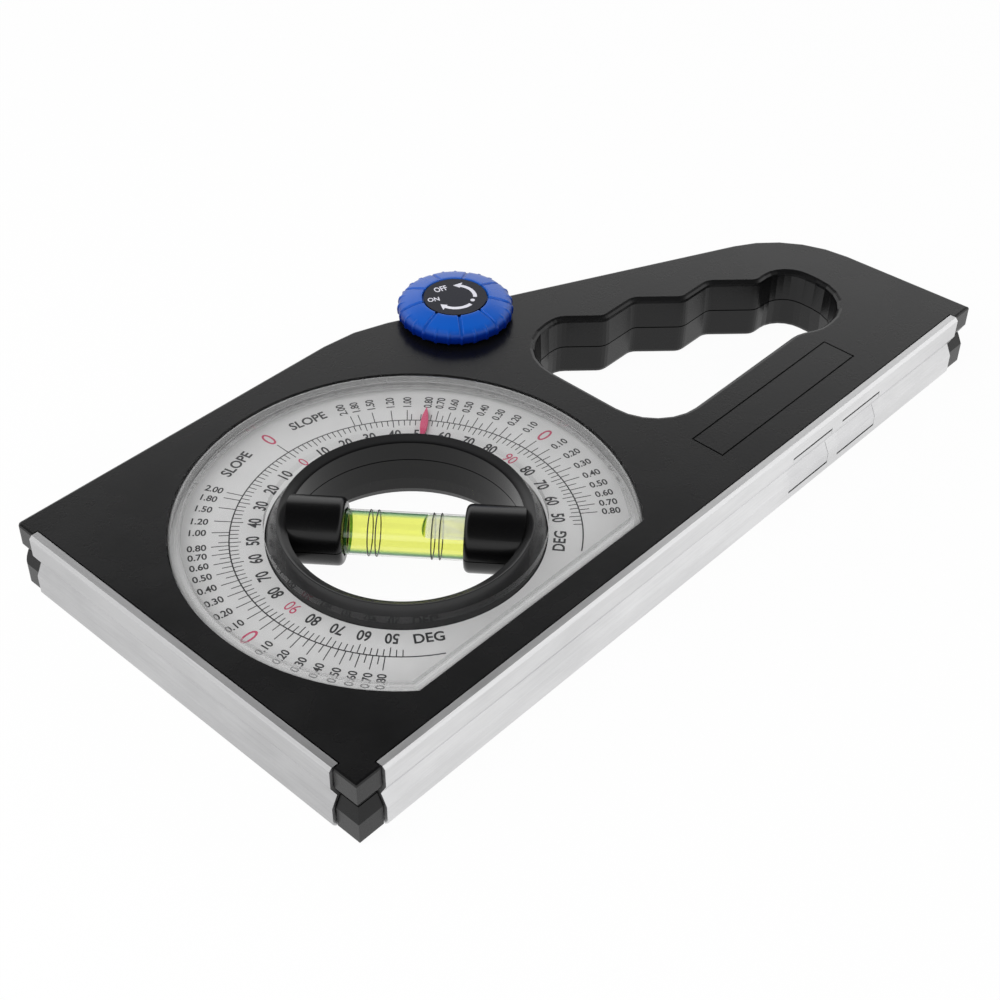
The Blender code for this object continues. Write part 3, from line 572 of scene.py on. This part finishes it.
def turned(profile, steps):
    """Solid of revolution about Z from a closed profile of radius and height."""
    bm = bmesh.new()
    verts = [bm.verts.new((radius, 0.0, height)) for radius, height in profile]
    edges = [bm.edges.new((a, b)) for a, b in zip(verts, verts[1:] + verts[:1])
             if max(a.co.x, b.co.x) > 0.0]
    bmesh.ops.spin(bm, geom=verts + edges, cent=(0, 0, 0), axis=(0, 0, 1),
                   angle=2 * math.pi, steps=steps, use_merge=True)
    bmesh.ops.remove_doubles(bm, verts=bm.verts, dist=1e-7)
    return bm


def move(bm, matrix):
    """Move all of a bmesh."""
    bmesh.ops.transform(bm, matrix=matrix, verts=bm.verts)
    return bm


at_dial = Matrix.Translation((dial_centre.x, dial_centre.y, 0.0))
at_ring = at_dial @ Matrix.Rotation(rest_turn, 4, "Z")
at_vial = at_ring @ Matrix.Translation((0.0, vial_shift, ring_split)) @ Matrix.Rotation(
    -math.pi / 2, 4, "X")
at_knob = Matrix.Translation((knob_centre.x, knob_centre.y, 0.0)) @ Matrix.Rotation(
    notch_turn, 4, "Z")


def window_outline(shrink):
    """Window of the dial, smaller all round."""
    return flatted_circle(window_radius - shrink, window_flat - shrink, window_steps, dial_centre)


def build_cover():
    """Clear pane over the dial with a milky bevelled and grooved rim."""
    pane_low = cover_top - pane_thick
    levels = [(cover_low, window_outline(play))]
    levels += [(cover_top - drop, window_outline(inward)) for inward, drop in rim_section]
    levels += [(pane_low, window_outline(rim_width)),
               (pane_low, window_outline(play + cover_skirt)),
               (cover_low, window_outline(play + cover_skirt))]
    to_piece("cover_rim", tube(levels), cover_rim, "case", (), flat_shade)
    inner = window_outline(rim_width + print_thick)
    pane = to_piece("cover_pane", stack([(pane_low, inner),
                                         (cover_top - rim_section[-1][1], inner)]), cover_clear)
    round_hole = circle(cover_hole, window_steps, dial_centre)
    hole = stack([(dial_top, round_hole), (body_thick + play, round_hole)])
    carve(pane, to_piece("cover_hole", hole, None))
    settle(pane, "case", ["dial_cover"])


def polar(radius, degrees):
    """Place on the dial by radius and plan angle."""
    turn = math.radians(degrees)
    return radius * math.cos(turn), radius * math.sin(turn)


def ray(bm, near, far, degrees):
    """Printed line along a ray from the dial's centre."""
    ahead = Vector(polar(1.0, degrees))
    side = Vector((-ahead.y, ahead.x)) * (tick_line / 2)
    corners = [ahead * near - side, ahead * far - side, ahead * far + side, ahead * near + side]
    stack([(dial_top, corners), (print_top, corners)], bm)


def sector(bm, near, far, start, end, low, high, steps):
    """Thin curved bar round the origin."""
    turns = [start + (end - start) * k / steps for k in range(steps + 1)]
    outer = [Vector((far * math.cos(t), far * math.sin(t))) for t in turns]
    inner = [Vector((near * math.cos(t), near * math.sin(t))) for t in reversed(turns)]
    stack([(low, outer + inner), (high, outer + inner)], bm)


def letters(bm, words, low):
    """Printed words as thin solids: text, place, turn, height, width share, weight."""
    for text, x, y, turn, height, squeeze, weight in words:
        curve = bpy.data.curves.new("word", "FONT")
        curve.body = text
        curve.align_x = "CENTER"
        curve.extrude = 0.5
        curve.resolution_u = letter_curve
        curve.offset = weight
        carrier = bpy.data.objects.new("word", curve)
        bpy.context.scene.collection.objects.link(carrier)
        graph = bpy.context.evaluated_depsgraph_get()
        mesh = bpy.data.meshes.new_from_object(carrier.evaluated_get(graph))
        bpy.data.objects.remove(carrier)
        lows = min(v.co.y for v in mesh.vertices)
        highs = max(v.co.y for v in mesh.vertices)
        lefts = min(v.co.x for v in mesh.vertices)
        rights = max(v.co.x for v in mesh.vertices)
        size = height / (highs - lows)
        place = (Matrix.Translation((x, y, low + print_thick / 2)) @ Matrix.Rotation(turn, 4, "Z")
                 @ Matrix.Diagonal((size * squeeze, size, print_thick, 1.0))
                 @ Matrix.Translation((-(lefts + rights) / 2, -(lows + highs) / 2, 0.0)))
        mesh.transform(place)
        bm.from_mesh(mesh)
        bpy.data.meshes.remove(mesh)


def write(row, text, radius, degrees, lean, size, squeeze, weight=ink_weight):
    """Put a word on a row of words, placed by radius and plan angle."""
    row.append((text, *polar(radius, degrees), math.radians(lean), size, squeeze, weight))


def print_slopes(black, words, side, zero):
    """Lines and numbers of the slopes on both ways from one zero."""
    for value in slope_values:
        lean = math.degrees(math.atan(value))
        number_lean = spread_leans.get(value, (lean, lean))[0 if side > 0 else 1]
        for way in (1, -1) if value <= low_slope else (1,):
            ray(black, scale_radius, outer_long, zero + side * way * lean)
            degrees = zero + side * way * number_lean
            facing = degrees if side > 0 else degrees + 180.0
            write(words, "%.2f" % value, slope_radius, degrees, facing, slope_size, slope_squeeze)
    for k in slope_half_steps:
        value = slope_half_step * k
        lean = math.degrees(math.atan(value))
        for way in (1, -1) if value < low_slope else (1,):
            ray(black, scale_radius, outer_short, zero + side * way * lean)
    ray(black, scale_radius, outer_long, zero)


def print_degrees(words, red_words, side, zero):
    """Numbers of the degrees and the two words beside one zero."""
    write(red_words, "0", zero_radius, zero, zero - 90.0, zero_size, zero_squeeze, 0.0)
    write(red_words, "90", degree_radius, zero, zero - 90.0, degree_size, degree_squeeze, 0.0)
    tens = [(10 * k, 90.0 - side * 10.0 * k) for k in range(1, 9)]
    tens += [(90 - 10 * k, zero - side * 10.0 * k) for k in range(1, 5)]
    for number, degrees in tens:
        write(words, "%d" % number, degree_radius, degrees, degrees - 90.0, degree_size,
              degree_squeeze)
    degrees = 90.0 - side * slope_word
    write(words, "SLOPE", zero_radius, degrees, degrees - 90.0, word_size, word_squeeze)
    degrees = zero - side * degree_word
    write(words, "DEG", degree_radius, degrees, degrees + 90.0, word_size, word_squeeze)


def build_print():
    """Scales, numbers and words on the dial."""
    black = bmesh.new()
    red = bmesh.new()
    half = scale_line / 2
    sector(black, scale_radius - half, scale_radius + half, math.radians(scale_ends[0]),
           math.radians(scale_ends[1]), dial_top, print_top, scale_steps)
    for k in range(inner_ticks[0], inner_ticks[1] + 1):
        near = inner_long if k % tick_group == 0 else inner_short
        ray(black, near, scale_radius, tick_step * k)
    words = []
    red_words = []
    for side, zero in ((1, 0.0), (-1, 180.0)):
        print_slopes(black, words, side, zero)
        print_degrees(words, red_words, side, zero)
    ray(black, scale_radius, outer_long, 90.0)
    write(red_words, "0", zero_radius, 90.0, 0.0, zero_size, zero_squeeze, 0.0)
    write(red_words, "0", degree_radius, 90.0, 0.0, degree_size, degree_squeeze, 0.0)
    letters(black, words, dial_top)
    letters(red, red_words, dial_top)
    to_piece("dial_scale", move(black, at_dial), ink_black, "case")
    to_piece("dial_zeros", move(red, at_dial), ink_red, "case")


def holder(side, low, high):
    """One half of a round vial holder with a rounded inner end, trimmed to the bore."""
    inner = holder_inner + side * vial_shift
    outer = holder_reach + holder_over
    turns = [math.pi / 2 * k / holder_steps for k in range(holder_steps + 1)]
    round_part = [(holder_radius - holder_round + holder_round * math.sin(turn),
                   inner + holder_round - holder_round * math.cos(turn)) for turn in turns]
    bm = turned([(0.0, inner), *round_part, (holder_radius, outer), (0.0, outer)], vial_steps)
    move(bm, Matrix.Translation((0, 0, ring_split))
         @ Matrix.Rotation(-side * math.pi / 2, 4, "X"))
    stub = to_piece("holder", bm, None)
    reach = circle(holder_reach, ring_steps)
    trim = to_piece("trim", stack([(low, reach), (high, reach)]), None)
    return carve(stub, trim, "INTERSECT")


def build_ring_half(name, profile, low, high):
    """Ring half with its halves of both holders and the vial's bore."""
    half = to_piece(name, turned(profile, ring_steps), None)
    for side in (1, -1):
        carve(half, holder(side, low, high), "UNION")
    room = vial_half + vial_shift + play
    bore = turned([(0.0, -room), (vial_radius + play, -room), (vial_radius + play, room),
                   (0.0, room)], vial_steps)
    move(bore, Matrix.Translation((0, 0, ring_split)) @ Matrix.Rotation(-math.pi / 2, 4, "X"))
    carve(half, to_piece("vial_bore", bore, None))
    half.data.transform(at_ring)
    dress(half, ring_black)
    settle(half, "level_ring", [name])
    half.name = name + "_moulded"


def build_ring():
    """Both halves of the turning ring."""
    low = ring_split + split_gap
    high = ring_split - split_gap
    crest = [(ring_crest + outward, ring_top - drop) for outward, drop in crest_section]
    build_ring_half("ring_front", [
        (ring_bore, low), (ring_bore, ring_top - bore_chamfer), *crest,
        (cone_foot, cone_low), (cone_foot, flange_top),
        (flange_radius, flange_top), (flange_radius, low),
    ], low, ring_split + half_room)
    build_ring_half("ring_rear", [
        (ring_bore, hub_low), (hub_radius, hub_low), (hub_radius, flange_low),
        (flange_radius, flange_low), (flange_radius, high), (ring_bore, high),
    ], ring_split - half_room, high)


def rounded_rod(radius, start, end, round_by):
    """Solid of revolution with round ends, along Z from start to end."""
    turns = [math.pi / 2 * k / bubble_steps for k in range(bubble_steps + 1)]
    low = [(radius * math.sin(t), start + round_by - round_by * math.cos(t)) for t in turns]
    high = [(radius * math.cos(t), end - round_by + round_by * math.sin(t)) for t in turns]
    return turned([(abs(r), h) for r, h in low + high], vial_steps)


def build_bubble(liquid):
    """Bubble along the vial's top side, and its room in the liquid."""
    for name, radius in (("vial_bubble", liquid_radius), ("bubble_room", liquid_radius + play)):
        bubble = to_piece(name, rounded_rod(radius, -bubble_end, -bubble_start, bubble_round),
                          bubble_pale)
        across = box_points(-vial_radius, -vial_radius, vial_radius, -bubble_floor)
        carve(bubble, to_piece("bubble_top", stack([(-bubble_end, across),
                                                    (-bubble_start, across)]), None), "INTERSECT")
        if radius > liquid_radius:
            carve(liquid, bubble)
        else:
            bubble.data.transform(at_vial)
            settle(bubble, "level_ring")


def build_marks():
    """Thin rings printed round the vial on each side of its middle."""
    marks = bmesh.new()
    for place in mark_places:
        for side in (1, -1):
            turns = [2 * math.pi * k / mark_steps for k in range(mark_steps)]
            part = turned([(vial_radius + mark_radius * math.cos(turn),
                            side * place + mark_radius * math.sin(turn)) for turn in turns],
                          vial_steps)
            mesh = bpy.data.meshes.new("mark")
            part.to_mesh(mesh)
            part.free()
            marks.from_mesh(mesh)
            bpy.data.meshes.remove(mesh)
    to_piece("vial_marks", move(marks, at_vial), ink_black, "level_ring")


def build_vial():
    """Clear tube with ring marks, green liquid, its dark end band and its bubble."""
    edge = vial_radius - vial_edge
    barrel = turned([(0.0, -vial_half), (edge, -vial_half), (vial_radius, -vial_half + vial_edge),
                     (vial_radius, vial_half - vial_edge), (edge, vial_half),
                     (0.0, vial_half)], vial_steps)
    to_piece("vial_barrel", move(barrel, at_vial), vial_clear, "level_ring",
             ["vial_tube"])
    end = vial_half - liquid_inset
    liquid = to_piece("vial_fluid", turned([(0.0, -end), (liquid_radius, -end),
                                            (liquid_radius, end), (0.0, end)], vial_steps),
                      vial_green)
    build_bubble(liquid)
    liquid.data.transform(at_vial)
    settle(liquid, "level_ring", ["vial_liquid", "vial_plug"])
    inside = liquid_radius + band_clear[0]
    outside = vial_radius - band_clear[1]
    band = turned([(inside, end_band[0]), (outside, end_band[0]), (outside, end_band[1]),
                   (inside, end_band[1])], vial_steps)
    to_piece("vial_band", move(band, at_vial), end_green, "level_ring")
    build_marks()


def build_pointer():
    """Leaf-shaped needle with rounded edges."""
    length = pointer_tip - pointer_root
    half = pointer_width / 2
    top = pointer_low + pointer_thick

    def outline(scale):
        right = [Vector((pointer_root + along * length, -wide * half * scale))
                 for along, wide in pointer_shares]
        return right + [Vector((p.x, -p.y)) for p in reversed(right)]

    bm = stack([(pointer_low, outline(pointer_low_share)),
                (pointer_low + pointer_edge, outline(1.0)), (top - pointer_edge, outline(1.0)),
                (top, outline(pointer_top_share))])
    to_piece("pointer_needle", move(bm, at_ring), pointer_red, "level_ring",
             ["pointer"])


def eased(distance, half, fade):
    """Share that is 1 within half of a line and falls smoothly to 0 past its fade."""
    share = min(max((half + fade - distance) / fade, 0.0), 1.0)
    return share * share * (3.0 - 2.0 * share)


def off_line(turn, count):
    """Angle from a turn to the nearest of evenly spaced lines."""
    pitch = 2 * math.pi / count
    return abs((turn + pitch / 2) % pitch - pitch / 2)


def knob_row(bm, radius, height, ahead):
    """Ring of points of the knob's skin, raised on its ribs and sunk in its notches."""
    row = []
    lean = math.hypot(*ahead)
    rib_share = min(max((radius - rib_inner) / (rib_outer - rib_inner), 0.0), 1.0)
    notch_share = eased(radius, rib_outer, notch_shoulder - rib_outer)
    if height < notch_low:
        notch_share = 0.0
    for k in range(knob_steps):
        turn = 2 * math.pi * k / knob_steps
        rise = knob_rib * rib_share * eased(off_line(turn, knob_ribs), rib_half, rib_fade)
        rise -= notch_depth * notch_share * eased(radius * off_line(turn, knob_notches),
                                                  notch_half, notch_fade)
        reach = radius + rise * ahead[1] / lean
        row.append(bm.verts.new((reach * math.cos(turn), reach * math.sin(turn),
                                 height - rise * ahead[0] / lean)))
    return row


def build_knob():
    """Knob with a ribbed side, a sloping face with fine radial notches, and its hub."""
    bm = bmesh.new()
    rows = []
    for index, (radius, height) in enumerate(knob_section):
        before = knob_section[max(index - 1, 0)]
        after = knob_section[min(index + 1, len(knob_section) - 1)]
        rows.append(knob_row(bm, radius, height, (after[0] - before[0], after[1] - before[1])))
    plain = ((knob_hub, knob_foot), (knob_hub, knob_section[0][1]),
             (knob_section[-1][0], knob_seat))
    foot, under, seat = [[bm.verts.new((radius * math.cos(2 * math.pi * k / knob_steps),
                                        radius * math.sin(2 * math.pi * k / knob_steps), height))
                          for k in range(knob_steps)] for radius, height in plain]
    rows = [foot, under, *rows, seat]
    for low, high in zip(rows, rows[1:]):
        for k in range(knob_steps):
            after = (k + 1) % knob_steps
            bm.faces.new((low[k], low[after], high[after], high[k]))
    bm.faces.new(list(reversed(foot)))
    bm.faces.new(seat)
    to_piece("knob_wheel", move(bm, at_knob), knob_blue, "lock_knob", ["knob"],
             knob_shade)


def build_label():
    """Arrows, dot and the words of the lock on the knob's label."""
    low = cap_top
    high = cap_top + print_thick
    white = bmesh.new()
    for near, far, start, end, tip in arrow_arcs:
        sector(white, near, far, math.radians(min(start, end)), math.radians(max(start, end)),
               low, high, arrow_steps)
        head = [Vector(polar(arrow_near, end)), Vector(polar(arrow_tip, tip)),
                Vector(polar(arrow_far, end))]
        if tip > end:
            head.reverse()
        stack([(low, head), (high, head)], white)
    dot = circle(dot_radius, dot_steps, polar(*dot_place))
    stack([(low, dot), (high, dot)], white)
    letters(white, label_words, low)
    at_label = Matrix.Translation((knob_centre.x, knob_centre.y, 0.0))
    to_piece("knob_label_print", move(white, at_label), ink_white, "lock_knob")


def build_magnets():
    """Magnet bars whose faces follow the rail's V, as long as their windows."""
    face = rail_face
    profile = [(face, magnet_low), (magnet_lip, magnet_low), (magnet_lip, magnet_high),
               (face, magnet_high), (face, mid_plane + groove_half),
               (face + groove_depth, mid_plane), (face, mid_plane - groove_half)]
    rows = ((0.0, magnet_round), (magnet_round, 0.0), (magnet_length - magnet_round, 0.0),
            (magnet_length, magnet_round))
    for index, start in enumerate(magnet_starts):
        bm = bmesh.new()
        ends = [[bm.verts.new((home.x + start + along, home.y + y + (sink if y <= face else 0), z))
                 for y, z in profile] for along, sink in rows]
        for near, other in zip(ends, ends[1:]):
            for k in range(len(profile)):
                after = (k + 1) % len(profile)
                bm.faces.new((near[k], near[after], other[after], other[k]))
        bm.faces.new(ends[0])
        bm.faces.new(list(reversed(ends[-1])))
        name = "magnet_%d" % (index + 1)
        to_piece(name + "_bar", bm, magnet_metal, "case", [name], flat_shade)


def build_screws():
    """Pan heads with a cross recess on the rear face, on their shanks."""
    half = cross_length / 2
    thin = cross_width / 2
    crown = [(screw_head * share, screw_head_low + rise) for share, rise in screw_crown]
    for index, (x, y) in enumerate(screw_places):
        bm = turned([(0.0, screw_head_low), *crown, (screw_head, screw_head_high),
                     (screw_shank, screw_head_high), (screw_shank, screw_end),
                     (0.0, screw_end)], screw_steps)
        place = Matrix.Translation((home.x + x, home.y + y, 0.0)) @ Matrix.Rotation(
            screw_turn * index, 4, "Z")
        name = "case_screw_%d" % (index + 1)
        screw = to_piece(name + "_turned", move(bm, place), zinc_metal)
        for long, wide in ((half, thin), (thin, half)):
            points = box_points(-long, -wide, long, wide)
            recess = stack([(screw_head_low - cross_over, points),
                            (screw_head_low + cross_depth, points)])
            carve(screw, to_piece("cross", move(recess, place), None))
        settle(screw, "case", [name])


def build_floor():
    """Pale floor that stays white to the eye and keeps the shadow."""
    made, tree, shader = shader_nodes("floor_white")
    shader.inputs["Roughness"].default_value = 0.9
    grain = object_noise(tree, 40.0)
    tree.links.new(colours_between(tree, grain.outputs["Fac"], (0.84, 0.84, 0.84),
                                   (0.86, 0.86, 0.86)), shader.inputs["Base Color"])
    glow = add(tree, "Emission")
    bright = add(tree, "MixShader")
    bright.inputs[0].default_value = floor_shade
    seen = add(tree, "MixShader")
    path = add(tree, "LightPath")
    first = add(tree, "Math", operation="ADD")
    second = add(tree, "Math", operation="ADD", use_clamp=True)
    tree.links.new(path.outputs["Is Camera Ray"], first.inputs[0])
    tree.links.new(path.outputs["Is Glossy Ray"], first.inputs[1])
    tree.links.new(first.outputs[0], second.inputs[0])
    tree.links.new(path.outputs["Is Transmission Ray"], second.inputs[1])
    tree.links.new(glow.outputs[0], bright.inputs[1])
    tree.links.new(shader.outputs[0], bright.inputs[2])
    tree.links.new(second.outputs[0], seen.inputs[0])
    tree.links.new(shader.outputs[0], seen.inputs[1])
    tree.links.new(bright.outputs[0], seen.inputs[2])
    tree.links.new(seen.outputs[0], tree.nodes["Material Output"].inputs["Surface"])
    ground = circle(floor_radius, floor_steps)
    to_piece("floor", stack([(floor_low, ground), (floor_high, ground)]), made)


def build_sky():
    """World with a bright low sky that the camera sees as plain white."""
    world = bpy.data.worlds.new("studio")
    bpy.context.scene.world = world
    world.use_nodes = True
    tree = world.node_tree
    sky = tree.nodes["Background"]
    place = add(tree, "TexCoord")
    split = add(tree, "SeparateXYZ")
    tree.links.new(place.outputs["Generated"], split.inputs[0])
    fade = add(tree, "ValToRGB")
    stops = fade.color_ramp.elements
    for height, level in sky_levels[1:-1]:
        stops.new(height)
    for stop, (height, level) in zip(stops, sky_levels):
        stop.color = (level, level, level, 1.0)
    tree.links.new(split.outputs["Z"], fade.inputs["Fac"])
    tree.links.new(fade.outputs["Color"], sky.inputs["Color"])
    sky.inputs["Strength"].default_value = sky_strength
    white = add(tree, "Background")
    white.inputs["Color"].default_value = (1.0, 1.0, 1.0, 1.0)
    mix = add(tree, "MixShader")
    path = add(tree, "LightPath")
    tree.links.new(path.outputs["Is Camera Ray"], mix.inputs[0])
    tree.links.new(sky.outputs[0], mix.inputs[1])
    tree.links.new(white.outputs[0], mix.inputs[2])
    tree.links.new(mix.outputs[0], tree.nodes["World Output"].inputs["Surface"])


def build_lamp():
    """Soft square lamp that shines on the origin and isn't mirrored in gloss."""
    lamp = bpy.data.lights.new("key", "AREA")
    lamp.size = key_size
    lamp.energy = key_power
    carrier = bpy.data.objects.new("key", lamp)
    bpy.context.scene.collection.objects.link(carrier)
    carrier.location = key_place
    carrier.rotation_euler = (-Vector(key_place)).to_track_quat("-Z", "Y").to_euler()
    carrier.visible_glossy = False


def build_camera():
    """Camera at the photograph's viewing angle."""
    back = Vector((math.sin(camera_turn) * math.cos(camera_rise),
                   -math.cos(camera_turn) * math.cos(camera_rise), math.sin(camera_rise)))
    right = Vector((math.cos(camera_turn), math.sin(camera_turn), 0.0))
    up = back.cross(right)
    across = right * math.cos(camera_roll) + up * math.sin(camera_roll)
    above = up * math.cos(camera_roll) - right * math.sin(camera_roll)
    lens = bpy.data.cameras.new("view")
    lens.sensor_width = camera_sensor
    lens.lens = camera_lens
    lens.clip_start = camera_near
    camera = bpy.data.objects.new("view", lens)
    bpy.context.scene.collection.objects.link(camera)
    camera.matrix_world = Matrix((
        (across.x, above.x, back.x, camera_place.x),
        (across.y, above.y, back.y, camera_place.y),
        (across.z, above.z, back.z, camera_place.z),
        (0.0, 0.0, 0.0, 1.0)))
    bpy.context.scene.camera = camera


def dress_nodes():
    """Materials and smooth rounded shading of the CAD nodes that stay in view."""
    finishes = {
        "front_shell": case_black, "rear_shell": case_black, "long_rail": rail_long_metal,
        "short_rail": rail_short_metal_painted_shade, "dial_plate": dial_silver, "lock_cam": zinc_metal,
        "brake_slider": nylon_white, "brake_pad": rubber_black, "knob_cap": label_grey,
    }
    for name, finish in finishes.items():
        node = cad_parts[name]
        dress(node, finish)
        weld = node.modifiers.new("weld", "WELD")
        weld.merge_threshold = weld_reach
        split = node.modifiers.new("split", "EDGE_SPLIT")
        split.split_angle = math.radians(node_shade)
        smooth = node.modifiers.new("smooth", "WEIGHTED_NORMAL")
        smooth.keep_sharp = True


build_camera()
build_floor()
build_sky()
dress_nodes()
build_cover()
build_print()
build_ring()
build_vial()
build_pointer()
build_knob()
build_label()
build_magnets()
build_screws()
build_lamp()
bpy.context.scene.view_settings.view_transform = "Standard"
